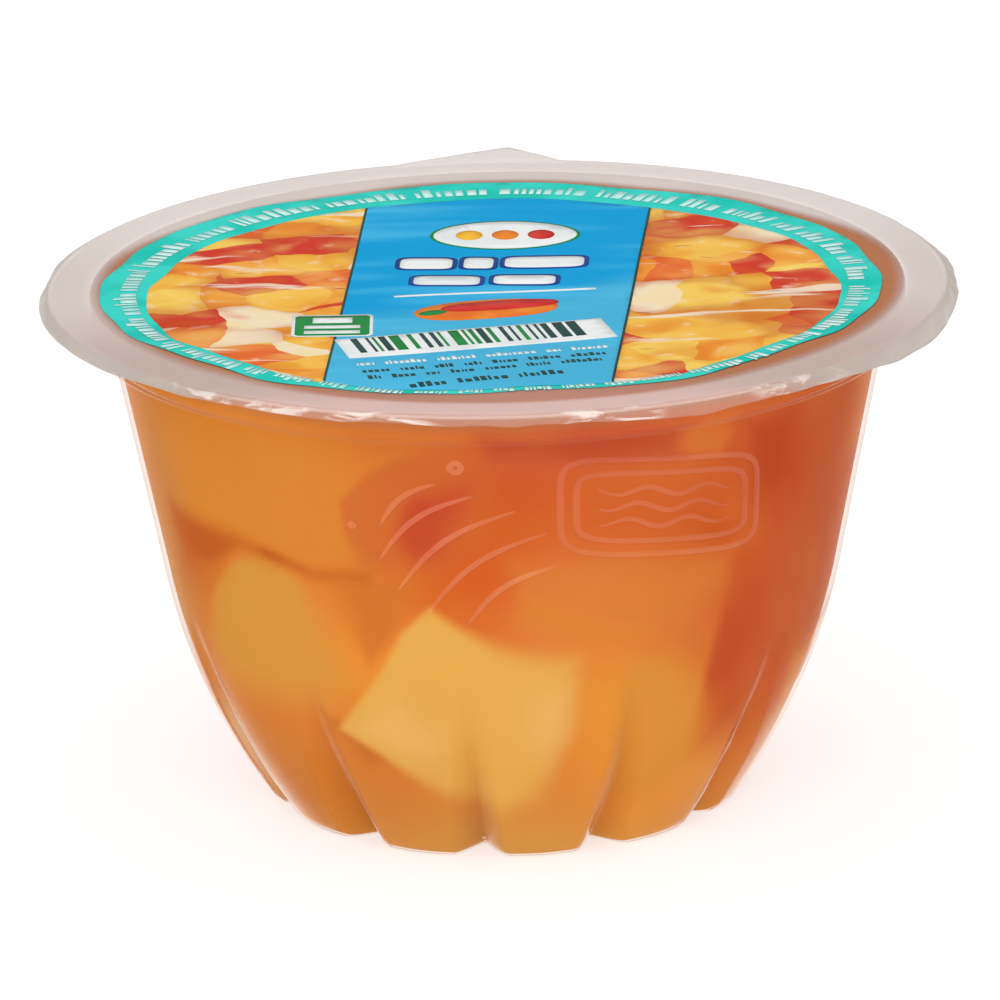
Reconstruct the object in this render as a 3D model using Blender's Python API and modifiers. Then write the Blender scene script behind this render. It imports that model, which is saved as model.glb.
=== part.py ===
"""A single-serve fruit cup, sealed: clear fluted cup, peel film on its flange, fruit inside.

Metres, Z up, base on the ground at the origin. The front, where the best pieces of fruit
show, faces -Y. The peel tab of the film points to +Y.
"""
import math
import random

import bpy
from mathutils import Matrix, Vector

MM = 0.001

# Heights above the ground
LID_HEIGHT = 45.9 * MM
FILM_THICKNESS = 0.3 * MM
SEAL_GAP = 0.3 * MM
FLANGE_TOP = LID_HEIGHT - FILM_THICKNESS - SEAL_GAP

# The cup: wall, flange and the stacking shoulder under it
WALL = 0.6 * MM
FLANGE_RADIUS = 38.4 * MM
NECK_RADIUS = 36.0 * MM
SHOULDER_HEIGHT = 42.5 * MM
SHOULDER_DROP = 1.5 * MM

# The wall: a straight taper, then a bowl curve down to the foot
TAPER_TOP_RADIUS = 33.7 * MM
TAPER_END_RADIUS = 29.8 * MM
TAPER_END_HEIGHT = 21.1 * MM
BOWL_PULL_RADIUS = 27.8 * MM
BOWL_PULL_HEIGHT = 9.9 * MM
FOOT_RADIUS = 20.9 * MM
FOOT_ROUNDING = 0.6 * MM
BASE_RING_RADIUS = 14.0 * MM

# The flutes: sharp creases that deepen to the foot and split it into petals
PETALS = 12
CREASE_TOP = 18.5 * MM
CREASE_DEPTH = 3.2 * MM
CREASE_HALF_WIDTH_TOP = math.radians(3.0)
CREASE_HALF_WIDTH_FOOT = math.radians(6.2)
PETAL_ROUNDING = 0.3 * MM
CREASE_TURN = math.radians(-6.8)
STEPS_PER_PETAL = 6

# The film: flat over the flange, then a thin edge that droops in waves, and a tab behind
FILM_FLAT_RADIUS = 38.9 * MM
FILM_EDGE_RADIUS = 40.0 * MM
FILM_DROOP = 1.3 * MM
FILM_STEPS = 96
TAB_LEFT = (-16.2 * MM, 36.4 * MM)
TAB_TIP = (1.2 * MM, 45.3 * MM)
TAB_RIGHT = (7.6 * MM, 39.3 * MM)

# The fruit: a core with the pieces that show against the wall
WALL_CLEARANCE = 0.5 * MM
CORE_INSET = 5.0 * MM
FRUIT_FLOOR = 1.2 * MM
FRUIT_TOP = 43.6 * MM
PIECE_DEPTH = 12.0 * MM
PIECE_BEVEL = 1.3 * MM


def clear_scene():
    for ob in list(bpy.data.objects):
        bpy.data.objects.remove(ob, do_unlink=True)


def new_collection(name):
    col = bpy.data.collections.new(name)
    bpy.context.scene.collection.children.link(col)
    return col


def new_material(name, colour, roughness):
    mat = bpy.data.materials.new(name)
    mat.use_nodes = True
    shader = mat.node_tree.nodes["Principled BSDF"]
    shader.inputs["Base Color"].default_value = (*colour, 1.0)
    shader.inputs["Roughness"].default_value = roughness
    return mat


def new_object(name, verts, edges, faces, col):
    me = bpy.data.meshes.new(name)
    me.from_pydata(verts, edges, faces)
    ob = bpy.data.objects.new(name, me)
    col.objects.link(ob)
    return ob


def apply_modifiers(ob):
    bpy.context.view_layer.update()
    depsgraph = bpy.context.evaluated_depsgraph_get()
    baked = bpy.data.meshes.new_from_object(ob.evaluated_get(depsgraph))
    ob.modifiers.clear()
    old = ob.data
    ob.data = baked
    baked.name = ob.name
    bpy.data.meshes.remove(old)


def turned(name, profile, steps, col):
    """A profile of (radius, height) points, top to bottom, turned once round Z."""
    verts = [(r, 0.0, z) for r, z in profile]
    edges = [(i, i + 1) for i in range(len(verts) - 1)]
    ob = new_object(name, verts, edges, [], col)
    screw = ob.modifiers.new("turn", "SCREW")
    screw.axis = "Z"
    screw.angle = 2.0 * math.pi
    screw.steps = steps
    screw.render_steps = steps
    screw.use_merge_vertices = True
    screw.merge_threshold = 0.00001
    apply_modifiers(ob)
    return ob


def bowl_point(t):
    """The bowl curve from the end of the taper, at t = 0, to the foot, at t = 1."""
    a = (1.0 - t) ** 2
    b = 2.0 * t * (1.0 - t)
    c = t ** 2
    r = a * TAPER_END_RADIUS + b * BOWL_PULL_RADIUS + c * FOOT_RADIUS
    z = a * TAPER_END_HEIGHT + b * BOWL_PULL_HEIGHT
    return r, z


def wall_radius(height):
    """Outer radius of the wall at a height, between the creases."""
    taper_top = SHOULDER_HEIGHT - SHOULDER_DROP
    if height >= TAPER_END_HEIGHT:
        share = min(1.0, (height - TAPER_END_HEIGHT) / (taper_top - TAPER_END_HEIGHT))
        return TAPER_END_RADIUS + share * (TAPER_TOP_RADIUS - TAPER_END_RADIUS)
    low, high = 0.0, 1.0
    for _ in range(24):
        middle = 0.5 * (low + high)
        if bowl_point(middle)[1] > height:
            low = middle
        else:
            high = middle
    return bowl_point(0.5 * (low + high))[0]


def crease_share(height):
    """How far a crease has opened at a height: 0 at its top, 1 at the foot."""
    return max(0.0, 1.0 - height / CREASE_TOP)


def crease_depth(height):
    return CREASE_DEPTH * crease_share(height) ** 1.2


# The cup


def cup_profile():
    under = FLANGE_TOP - WALL
    points = [
        (FLANGE_RADIUS, under),
        (NECK_RADIUS + 0.4 * MM, under),
        (NECK_RADIUS, under - 0.4 * MM),
        (NECK_RADIUS, SHOULDER_HEIGHT),
        (NECK_RADIUS - 0.5 * MM, SHOULDER_HEIGHT - 0.6 * MM),
        (TAPER_TOP_RADIUS + 0.3 * MM, SHOULDER_HEIGHT - 1.1 * MM),
        (TAPER_TOP_RADIUS, SHOULDER_HEIGHT - SHOULDER_DROP),
        (TAPER_END_RADIUS, TAPER_END_HEIGHT),
    ]
    for t in (0.14, 0.28, 0.43, 0.58, 0.73, 0.87):
        points.append(bowl_point(t))
    points.append((FOOT_RADIUS + 0.2 * MM, FOOT_ROUNDING))
    points.append((FOOT_RADIUS - FOOT_ROUNDING, 0.0))
    points.append((BASE_RING_RADIUS, 0.0))
    points.append((0.0, 0.0))
    return points


def press_creases(ob):
    """Moves the points of each turned ring so that creases part the wall into petals."""
    pitch = 2.0 * math.pi / PETALS
    step = pitch / STEPS_PER_PETAL
    half = STEPS_PER_PETAL // 2
    for v in ob.data.vertices:
        r = math.hypot(v.co.x, v.co.y)
        if r < 0.001 * MM:
            continue
        turn = math.atan2(v.co.y, v.co.x)
        index = round(turn / step)
        petal, place = divmod(index, STEPS_PER_PETAL)
        share = crease_share(v.co.z)
        on_wall = v.co.z < CREASE_TOP and r > BASE_RING_RADIUS + 1.0 * MM
        if on_wall:
            lip = CREASE_HALF_WIDTH_TOP + share * (CREASE_HALF_WIDTH_FOOT - CREASE_HALF_WIDTH_TOP)
            from_crease = min(place, STEPS_PER_PETAL - place)
            spread = (0.0, lip, 0.5 * (lip + 0.5 * pitch), 0.5 * pitch)[from_crease]
            drop = (crease_depth(v.co.z), PETAL_ROUNDING * share, 0.25 * PETAL_ROUNDING * share, 0.0)
            r -= drop[from_crease]
            if place <= half:
                turn = petal * pitch + spread
            else:
                turn = (petal + 1) * pitch - spread
        turn += CREASE_TURN
        v.co.x = r * math.cos(turn)
        v.co.y = r * math.sin(turn)


def make_cup(col):
    ob = turned("cup", cup_profile(), PETALS * STEPS_PER_PETAL, col)
    press_creases(ob)
    solid = ob.modifiers.new("wall", "SOLIDIFY")
    solid.thickness = WALL
    solid.offset = -1.0
    solid.use_even_offset = True
    apply_modifiers(ob)
    ob.data.materials.clear()
    ob.data.materials.append(new_material("clear cup plastic", (0.86, 0.82, 0.78), 0.2))
    return ob


# The film and its tab


def tab_reach(turn):
    """Distance from the middle to the edge of the tab in a direction, or 0 beside it."""
    direction = Vector((math.cos(turn), math.sin(turn)))
    for first, second in ((TAB_LEFT, TAB_TIP), (TAB_TIP, TAB_RIGHT)):
        a = Vector(first)
        b = Vector(second)
        if direction.cross(a) >= 0.0 and direction.cross(b) <= 0.0 and direction.dot(a) > 0.0:
            return a.cross(b) / direction.cross(b - a)
    return 0.0


def edge_wave(turn):
    """Uneven waves of the drooping edge, between about -1 and 1."""
    wave = 0.5 * math.sin(5.0 * turn + 0.6)
    wave += 0.3 * math.sin(11.0 * turn + 2.1)
    wave += 0.2 * math.sin(19.0 * turn + 4.0)
    return wave


def make_film(col):
    middle_radius = 0.5 * (FILM_FLAT_RADIUS + FILM_EDGE_RADIUS) + 0.2 * MM
    profile = [
        (0.0, LID_HEIGHT),
        (0.7 * FILM_FLAT_RADIUS, LID_HEIGHT),
        (FILM_FLAT_RADIUS, LID_HEIGHT),
        (middle_radius, LID_HEIGHT - 0.35 * FILM_DROOP),
        (FILM_EDGE_RADIUS, LID_HEIGHT - FILM_DROOP),
    ]
    ob = turned("lid_film", profile, FILM_STEPS, col)
    for v in ob.data.vertices:
        r = math.hypot(v.co.x, v.co.y)
        if r < FILM_FLAT_RADIUS + 0.1 * MM:
            continue
        turn = math.atan2(v.co.y, v.co.x)
        at_edge = r > middle_radius + 0.1 * MM
        share = 1.0 if at_edge else 0.4
        r += share * 0.2 * MM * edge_wave(turn + 0.9)
        v.co.z += share * 0.4 * MM * edge_wave(turn)
        reach = tab_reach(turn)
        if reach > r:
            v.co.z = LID_HEIGHT - (0.5 * MM if at_edge else 0.1 * MM)
            r = reach if at_edge else 0.5 * (reach + FILM_FLAT_RADIUS)
        v.co.x = r * math.cos(turn)
        v.co.y = r * math.sin(turn)
    solid = ob.modifiers.new("film", "SOLIDIFY")
    solid.thickness = FILM_THICKNESS
    solid.offset = -1.0
    apply_modifiers(ob)
    ob.data.materials.clear()
    ob.data.materials.append(new_material("peel film", (0.72, 0.80, 0.78), 0.25))
    return ob


# The fruit


def piece_limit(height):
    """Radius that a piece of fruit stays inside at a height."""
    return wall_radius(height) - WALL - crease_depth(height) - WALL_CLEARANCE


def make_piece(name, angle, height, wide, tall, tilt, col, rng):
    """A cut piece with its broad side to the wall; angle from the front, in degrees."""
    half = Vector((0.5 * wide, 0.5 * PIECE_DEPTH, 0.5 * tall))
    verts = []
    for sx in (-1, 1):
        for sy in (-1, 1):
            for sz in (-1, 1):
                uneven = [1.0 + rng.uniform(-0.14, 0.06) for _ in range(3)]
                verts.append((sx * half.x * uneven[0], sy * half.y, sz * half.z * uneven[2]))
    faces = [(0, 1, 3, 2), (4, 6, 7, 5), (0, 4, 5, 1), (2, 3, 7, 6), (0, 2, 6, 4), (1, 5, 7, 3)]
    ob = new_object(name, verts, [], faces, col)
    bevel = ob.modifiers.new("soft edges", "BEVEL")
    bevel.width = PIECE_BEVEL
    bevel.segments = 1
    bevel.limit_method = "NONE"
    apply_modifiers(ob)
    lean = wall_radius(height - 4.0 * MM) - wall_radius(height + 4.0 * MM)
    slope = math.atan2(lean, 8.0 * MM)
    turn = Matrix.Rotation(math.radians(angle), 4, "Z")
    roll = Matrix.Rotation(math.radians(tilt), 4, "Y")
    pitch = Matrix.Rotation(-slope, 4, "X")
    spot = Matrix.Translation((0.0, -wall_radius(height), height))
    ob.data.transform(turn @ spot @ pitch @ roll)
    outward = Vector((math.sin(math.radians(angle)), -math.cos(math.radians(angle)), 0.0))
    for _ in range(60):
        over = 0.0
        for v in ob.data.vertices:
            z = min(max(v.co.z, 0.0), FRUIT_TOP)
            over = max(over, math.hypot(v.co.x, v.co.y) - piece_limit(z))
        if over <= 0.0:
            break
        ob.data.transform(Matrix.Translation(-outward * (over + 0.05 * MM)))
    for v in ob.data.vertices:
        v.co.z = min(max(v.co.z, FRUIT_FLOOR), FRUIT_TOP)
    return ob


def make_fruit(col):
    """The core and the pieces that show, fused into one heap."""
    rng = random.Random(7)
    core_profile = [(0.0, FRUIT_TOP - 1.4 * MM), (0.8 * TAPER_END_RADIUS, FRUIT_TOP - 1.6 * MM)]
    for height in (38.0, 28.0, 19.0, 12.0, 7.0, 4.0):
        core_profile.append((piece_limit(height * MM) - CORE_INSET + WALL_CLEARANCE, height * MM))
    core_profile.append((0.45 * FOOT_RADIUS, FRUIT_FLOOR + 0.6 * MM))
    core_profile.append((0.0, FRUIT_FLOOR + 0.4 * MM))
    core = turned("fruit", core_profile, 32, col)

    # Front pieces: angle from the front in degrees, then height, width and tallness in mm
    front = (
        ("mango upper left", -35.0, 35.5, 19.0, 12.0, 6.0),
        ("mango left", -34.5, 20.0, 16.0, 14.5, -8.0),
        ("papaya upper middle", -5.5, 35.5, 13.5, 12.5, 5.0),
        ("mango lower middle", -6.5, 15.0, 19.0, 17.0, 24.0),
        ("mango right middle", 16.0, 26.5, 16.5, 8.5, 12.0),
        ("papaya right", 43.0, 21.5, 12.0, 13.5, -14.0),
        ("mango low right", 28.0, 12.5, 11.0, 15.0, -10.0),
        ("papaya top", 14.0, 38.6, 9.0, 7.0, 4.0),
        ("mango top right", 30.5, 36.5, 9.5, 10.0, -6.0),
        ("papaya upper right", 51.0, 35.0, 13.0, 12.0, 8.0),
        ("mango low left", -56.0, 9.5, 12.0, 12.0, 12.0),
        ("papaya far left", -63.0, 27.0, 12.0, 13.0, -10.0),
    )
    pieces = []
    for name, angle, height, wide, tall, tilt in front:
        pieces.append(make_piece(name, angle, height * MM, wide * MM, tall * MM, tilt, col, rng))

    # The rest of the ring in three rows
    for height, angles in ((35.0, (78, 105, 132, 160, 188, 216, 243, 270, 295)),
                           (21.0, (72, 103, 134, 165, 196, 227, 258, 286)),
                           (10.0, (60, 98, 138, 178, 218, 258))):
        for angle in angles:
            wide = rng.uniform(12.0, 15.0) * MM
            tall = rng.uniform(11.0, 13.5) * MM
            lift = (height + rng.uniform(-1.0, 1.0)) * MM
            turn = angle + rng.uniform(-2.0, 2.0)
            tilt = rng.uniform(-15.0, 15.0)
            pieces.append(make_piece("piece", turn, lift, wide, tall, tilt, col, rng))

    heap = new_collection("pieces to fuse")
    for ob in pieces:
        col.objects.unlink(ob)
        heap.objects.link(ob)
    union = core.modifiers.new("fuse", "BOOLEAN")
    union.operation = "UNION"
    union.operand_type = "COLLECTION"
    union.collection = heap
    union.solver = "MANIFOLD"
    apply_modifiers(core)
    for ob in pieces:
        bpy.data.objects.remove(ob, do_unlink=True)
    bpy.data.collections.remove(heap)
    core.data.materials.clear()
    core.data.materials.append(new_material("mango and papaya", (0.80, 0.38, 0.08), 0.35))
    return core


clear_scene()
fruit_cup = new_collection("fruit cup")
make_cup(fruit_cup)
make_film(fruit_cup)
make_fruit(fruit_cup)
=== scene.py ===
import math
import random

import bmesh
import bpy
import numpy as np
from mathutils import Matrix, Vector, noise


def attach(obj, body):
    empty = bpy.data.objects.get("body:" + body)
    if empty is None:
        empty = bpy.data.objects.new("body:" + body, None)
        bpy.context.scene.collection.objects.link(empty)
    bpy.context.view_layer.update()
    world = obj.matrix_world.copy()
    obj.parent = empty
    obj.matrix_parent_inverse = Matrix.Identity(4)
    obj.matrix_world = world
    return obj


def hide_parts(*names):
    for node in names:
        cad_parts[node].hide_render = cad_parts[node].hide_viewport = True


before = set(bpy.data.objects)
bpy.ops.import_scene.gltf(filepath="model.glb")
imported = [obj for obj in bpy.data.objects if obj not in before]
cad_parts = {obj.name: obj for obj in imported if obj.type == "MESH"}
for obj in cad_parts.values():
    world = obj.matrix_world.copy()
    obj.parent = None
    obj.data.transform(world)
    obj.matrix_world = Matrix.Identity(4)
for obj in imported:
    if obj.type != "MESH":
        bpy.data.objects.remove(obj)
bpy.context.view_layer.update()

# The cup: clear, very slightly milky polypropylene, moulded in one piece 0.6 mm thick.
# A flat flange carries the film, a stacking shoulder sits under it, and creases part the
# lower wall into petals that end as feet.

MM = 0.001
LID_HEIGHT = 45.9 * MM
FLANGE_TOP = 45.72 * MM
WALL = 0.6 * MM
FLANGE_RADIUS = 38.95 * MM
NECK_RADIUS = 36.0 * MM
SHOULDER_HEIGHT = 42.5 * MM
TAPER_TOP = (33.7 * MM, 41.0 * MM)
TAPER_END = (29.8 * MM, 21.1 * MM)
BOWL_PULL = (27.8 * MM, 9.9 * MM)
FOOT_RADIUS = 20.9 * MM
PETALS = 12
CREASE_TOP = 20.0 * MM
CREASE_DEPTH = 3.3 * MM
CREASE_TURN = math.radians(-6.8)
CREASE_LIP = math.radians(2.2)
CREASE_OPENING = math.radians(4.2)
PETAL_ROUNDING = 0.135 * MM
CUP_STEPS = 288
FOOT_WALL = 0.35 * MM
FOOT_THIN_TOP = 12.0 * MM
STAND_RADIUS = 16.7 * MM
EDGE = 0.1 * MM
TAPER_RINGS = 8
BOWL_RINGS = 30
BOWL_STOP = 0.965


def bowl_point(t):
    """The bowl curve from the end of the taper, at t = 0, to the foot, at t = 1."""
    a, b, c = (1.0 - t) ** 2, 2.0 * t * (1.0 - t), t * t
    r = a * TAPER_END[0] + b * BOWL_PULL[0] + c * FOOT_RADIUS
    return r, a * TAPER_END[1] + b * BOWL_PULL[1]


def wall_radius(height):
    """Outer radius of the wall at a height, between the creases."""
    if height >= TAPER_END[1]:
        share = min(1.0, (height - TAPER_END[1]) / (TAPER_TOP[1] - TAPER_END[1]))
        return TAPER_END[0] + share * (TAPER_TOP[0] - TAPER_END[0])
    low, high = 0.0, 1.0
    for _ in range(22):
        middle = 0.5 * (low + high)
        if bowl_point(middle)[1] > height:
            low = middle
        else:
            high = middle
    return bowl_point(0.5 * (low + high))[0]


def crease(turn, height):
    """How far the wall is pressed in at a turn from +X and a height."""
    share = max(0.0, 1.0 - height / CREASE_TOP)
    if share == 0.0:
        return 0.0
    pitch = 2.0 * math.pi / PETALS
    off = (turn - CREASE_TURN) / pitch
    off = abs(off - round(off)) * pitch
    lip = CREASE_LIP + CREASE_OPENING * share
    rounding = PETAL_ROUNDING * share * (1.0 - math.cos(math.pi * (1.0 - 2.0 * off / pitch)))
    if off >= lip:
        return rounding
    return rounding + CREASE_DEPTH * share ** 1.25 * (1.0 - off / lip) ** 1.1


def ring(radius, height, steps, pressed=True):
    """Points once round at a radius and height, pressed in at the creases."""
    points = []
    for i in range(steps):
        turn = 2.0 * math.pi * i / steps
        r = radius - (crease(turn, height) if pressed else 0.0)
        points.append((r * math.cos(turn), r * math.sin(turn), height))
    return points


def thickness(height):
    """The wall is drawn thinner towards the foot."""
    share = min(1.0, height / FOOT_THIN_TOP)
    return FOOT_WALL + (WALL - FOOT_WALL) * share


def band(a, b, count):
    """The faces between two rings of count points each, by the rings' places in the mesh."""
    faces = []
    for i in range(count):
        j = (i + 1) % count
        faces.append((a * count + i, b * count + i, b * count + j, a * count + j))
    return faces


def loft(name, rings, start=None, end=None):
    """A mesh through rings of equal length, closed by a point at its first or last ring."""
    count = len(rings[0])
    verts = [point for one in rings for point in one]
    faces = []
    for k in range(len(rings) - 1):
        faces += band(k, k + 1, count)
    if start is not None:
        verts.append(start)
        tip = len(verts) - 1
        faces += [(tip, i, (i + 1) % count) for i in range(count)]
    if end is not None:
        verts.append(end)
        tip = len(verts) - 1
        last = (len(rings) - 1) * count
        faces += [(tip, last + (i + 1) % count, last + i) for i in range(count)]
    return add_piece(name, verts, faces)


def add_piece(name, verts, faces, smooth=True):
    me = bpy.data.meshes.new(name)
    me.from_pydata([tuple(v) for v in verts], [], faces)
    bm = bmesh.new()
    bm.from_mesh(me)
    bmesh.ops.recalc_face_normals(bm, faces=bm.faces)
    bm.to_mesh(me)
    bm.free()
    ob = bpy.data.objects.new(name, me)
    bpy.context.scene.collection.objects.link(ob)
    for poly in me.polygons:
        poly.use_smooth = smooth
    return ob


def srgb(code):
    """A colour from its six-figure code, in the linear values that shaders take."""
    out = []
    for k in (0, 2, 4):
        v = int(code[k:k + 2], 16) / 255.0
        out.append(v / 12.92 if v <= 0.04045 else ((v + 0.055) / 1.055) ** 2.4)
    return (*out, 1.0)


def material(name):
    mat = bpy.data.materials.new(name)
    mat.use_nodes = True
    mat.node_tree.nodes.clear()
    return mat, mat.node_tree


def node(tree, kind, values=None, **settings):
    """A node with its settings, its values and the sockets that feed it."""
    made = tree.nodes.new("ShaderNode" + kind)
    for key, value in settings.items():
        setattr(made, key, value)
    for key, value in (values or {}).items():
        if isinstance(value, bpy.types.NodeSocket):
            tree.links.new(value, made.inputs[key])
        else:
            made.inputs[key].default_value = value
    return made


def maths(tree, operation, a, b=0.0, clamp=False):
    return node(tree, "Math", {0: a, 1: b}, operation=operation, use_clamp=clamp).outputs[0]


def times(tree, first, *others):
    for other in others:
        first = maths(tree, "MULTIPLY", first, other)
    return first


def spread(tree, value, low, high, to_low=0.0, to_high=1.0):
    """A value's way from low to high, eased at both ends, as a way from to_low to to_high."""
    values = {"Value": value, "From Min": low, "From Max": high,
              "To Min": to_low, "To Max": to_high}
    return node(tree, "MapRange", values, interpolation_type="SMOOTHSTEP").outputs[0]


def mixed(tree, share, a, b):
    """Two colours mixed by a share, each a six-figure code or what another node gives."""
    a, b = [srgb(colour) if isinstance(colour, str) else colour for colour in (a, b)]
    return node(tree, "Mix", {0: share, 6: a, 7: b}, data_type="RGBA").outputs[2]


def place_of(tree):
    return node(tree, "TexCoord").outputs["Object"]


def mottle(tree, place, scale, detail=2.0, **more):
    """Cloudy noise about 0.5 over a place."""
    return node(tree, "TexNoise", {"Vector": place, "Scale": scale, "Detail": detail, **more}).outputs[0]


def from_axis(tree, place):
    """Distance from the cup's axis, and height, in metres."""
    x, y, height = node(tree, "SeparateXYZ", {0: place}).outputs
    squared = maths(tree, "ADD", times(tree, x, x), times(tree, y, y))
    return maths(tree, "SQRT", squared), height


def painted_body(tree, colour, roughness, shine, bump=None):
    """The shader of a piece's own substance. A bump is its strength, its height and its noise."""
    values = {"Base Color": colour, "Roughness": roughness, "Specular IOR Level": shine}
    if bump:
        strength, distance, rise = bump
        values["Normal"] = node(tree, "Bump", {"Strength": strength, "Distance": distance,
                                               "Height": rise}).outputs[0]
    return node(tree, "BsdfPrincipled", values).outputs[0]


def solid_face(tree, body):
    node(tree, "OutputMaterial", {"Surface": body})


def see_through(tree, share, body, tint=(1.0, 1.0, 1.0, 1.0), gloss=None):
    """The body's shader over a clear one by a share, with a glossy face over both."""
    clear = node(tree, "BsdfTransparent", {"Color": tint}).outputs[0]
    both = node(tree, "MixShader", {0: share, 1: clear, 2: body}).outputs[0]
    if gloss:
        shine = node(tree, "BsdfGlossy", {"Color": srgb("FFEEE2"), "Roughness": 0.15}).outputs[0]
        slant = times(tree, node(tree, "Fresnel", {"IOR": 1.35}).outputs[0], gloss)
        both = node(tree, "MixShader", {0: slant, 1: both, 2: shine}).outputs[0]
    node(tree, "OutputMaterial", {"Surface": both})


def cup_plastic():
    mat, tree = material("cup plastic")
    place = place_of(tree)
    radius, height = from_axis(tree, place)
    grain = mottle(tree, place, 55.0)
    flange = times(tree, spread(tree, radius, 35.2 * MM, 36.6 * MM),
                   spread(tree, height, 45.3 * MM, 45.62 * MM))
    facing = node(tree, "LayerWeight", {"Blend": 0.5}).outputs["Facing"]
    steep = spread(tree, height, 6.0 * MM, 22.0 * MM, 5.0, 8.8)
    rim = times(tree, maths(tree, "POWER", facing, steep), 0.85)
    rim = times(tree, rim, spread(tree, height, 40.0 * MM, 41.6 * MM, 1.0, 0.6))
    haze = maths(tree, "ADD", times(tree, grain, 0.02), rim)
    share = maths(tree, "ADD", haze, times(tree, flange, 0.8), clamp=True)
    wall = mixed(tree, grain, "F2D0B4", "EAC4A6")
    colour = mixed(tree, flange, wall, mixed(tree, grain, "F9F1ED", "F2E8E3"))
    body = painted_body(tree, colour, roughness=0.22, shine=0.1, bump=(0.05, 0.4 * MM, grain))
    grazing = times(tree, spread(tree, facing, 0.6, 0.92),
                    spread(tree, height, 2.0 * MM, 16.0 * MM, 2.0, 0.1))
    see_through(tree, share, body, gloss=grazing)
    return mat


def cup_profile():
    """Radius and height of the outer face, from the flange's top to the middle of the base."""
    under = FLANGE_TOP - WALL
    outer = [(FLANGE_RADIUS - EDGE, FLANGE_TOP), (FLANGE_RADIUS, FLANGE_TOP - EDGE),
             (FLANGE_RADIUS, under + EDGE), (FLANGE_RADIUS - EDGE, under),
             (NECK_RADIUS + 0.4 * MM, under), (NECK_RADIUS + EDGE, under - EDGE),
             (NECK_RADIUS, under - 0.4 * MM), (NECK_RADIUS, SHOULDER_HEIGHT + 0.2 * MM),
             (NECK_RADIUS - EDGE, SHOULDER_HEIGHT - EDGE),
             (NECK_RADIUS - 0.5 * MM, SHOULDER_HEIGHT - 0.5 * MM),
             (TAPER_TOP[0] + 0.5 * MM, TAPER_TOP[1] + 0.7 * MM),
             (TAPER_TOP[0] + EDGE, TAPER_TOP[1] + 0.3 * MM), TAPER_TOP]
    for k in range(1, TAPER_RINGS + 1):
        share = k / TAPER_RINGS
        outer.append((TAPER_TOP[0] + share * (TAPER_END[0] - TAPER_TOP[0]),
                      TAPER_TOP[1] + share * (TAPER_END[1] - TAPER_TOP[1])))
    outer += [bowl_point(BOWL_STOP * k / BOWL_RINGS) for k in range(1, BOWL_RINGS + 1)]
    return outer + [(FOOT_RADIUS + 0.05 * MM, 0.35 * MM), (FOOT_RADIUS - 0.2 * MM, EDGE),
                    (FOOT_RADIUS - 0.6 * MM, 0.0), (16.6 * MM, 0.0), (12.0 * MM, 0.0), (5.0 * MM, 0.0)]


def cup_mesh():
    """Outer and inner face in one, joined at the flange's top and each closed at the base."""
    outer = cup_profile()
    inner = []
    for r, z in outer[4:]:
        wall = thickness(z) if r >= 17.0 * MM else 0.0
        inner.append((r - wall, max(z, FOOT_WALL + 0.5 * min(z, 0.3 * MM))))
    inner[0] = (NECK_RADIUS - WALL + 0.25 * MM, FLANGE_TOP)
    inner[1] = (NECK_RADIUS - WALL + EDGE, FLANGE_TOP - EDGE)
    inner[2] = (NECK_RADIUS - WALL, FLANGE_TOP - 0.35 * MM)
    rings = [ring(r, z, CUP_STEPS, pressed=r > STAND_RADIUS) for r, z in outer + inner[::-1]]
    verts = [point for one in rings for point in one]
    base = len(outer) - 1
    faces = []
    for k in range(len(rings)):
        if k != base:
            faces += band(k, (k + 1) % len(rings), CUP_STEPS)
    for level in (base, base + 1):
        faces.append(tuple(range(level * CUP_STEPS, (level + 1) * CUP_STEPS)))
    return add_piece("clear_cup", verts, faces)


clear_cup = cup_mesh()
clear_cup.data.materials.append(cup_plastic())
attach(clear_cup, "root")
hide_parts("cup")

# The fruit: cut pieces of mango and papaya pressed close under the wall, with soft corners.
# Behind them the rest of the fruit is lost in the cloudy juice. Places on the wall are
# given in mm, along the wall from the middle of the front or of a piece, and up it.

LOW_BELT = 8.0
CORE_STEPS = 160
CORE_RINGS = 44
CORE_LOW = 2.2
CORE_TALL = 41.0
CORE_BEHIND = 3.2 * MM
CUT_THICK = 8.0
CUT_NARROWING = 0.86
CUT_CORNER = 1.5
CUT_BEHIND = 0.35 * MM
CUT_LOWEST = 1.3
CUT_HIGHEST = 43.6
CUT_UNEVEN = 0.35
BACK_START = 1.2
BACK_BLEND = 0.5
VOXEL = 0.62
BASE_TONE = "CE7030"
NECK_SHADE_TONE = "B07452"
FAR_TONES = ("C8682C", "CF8232")
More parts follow.
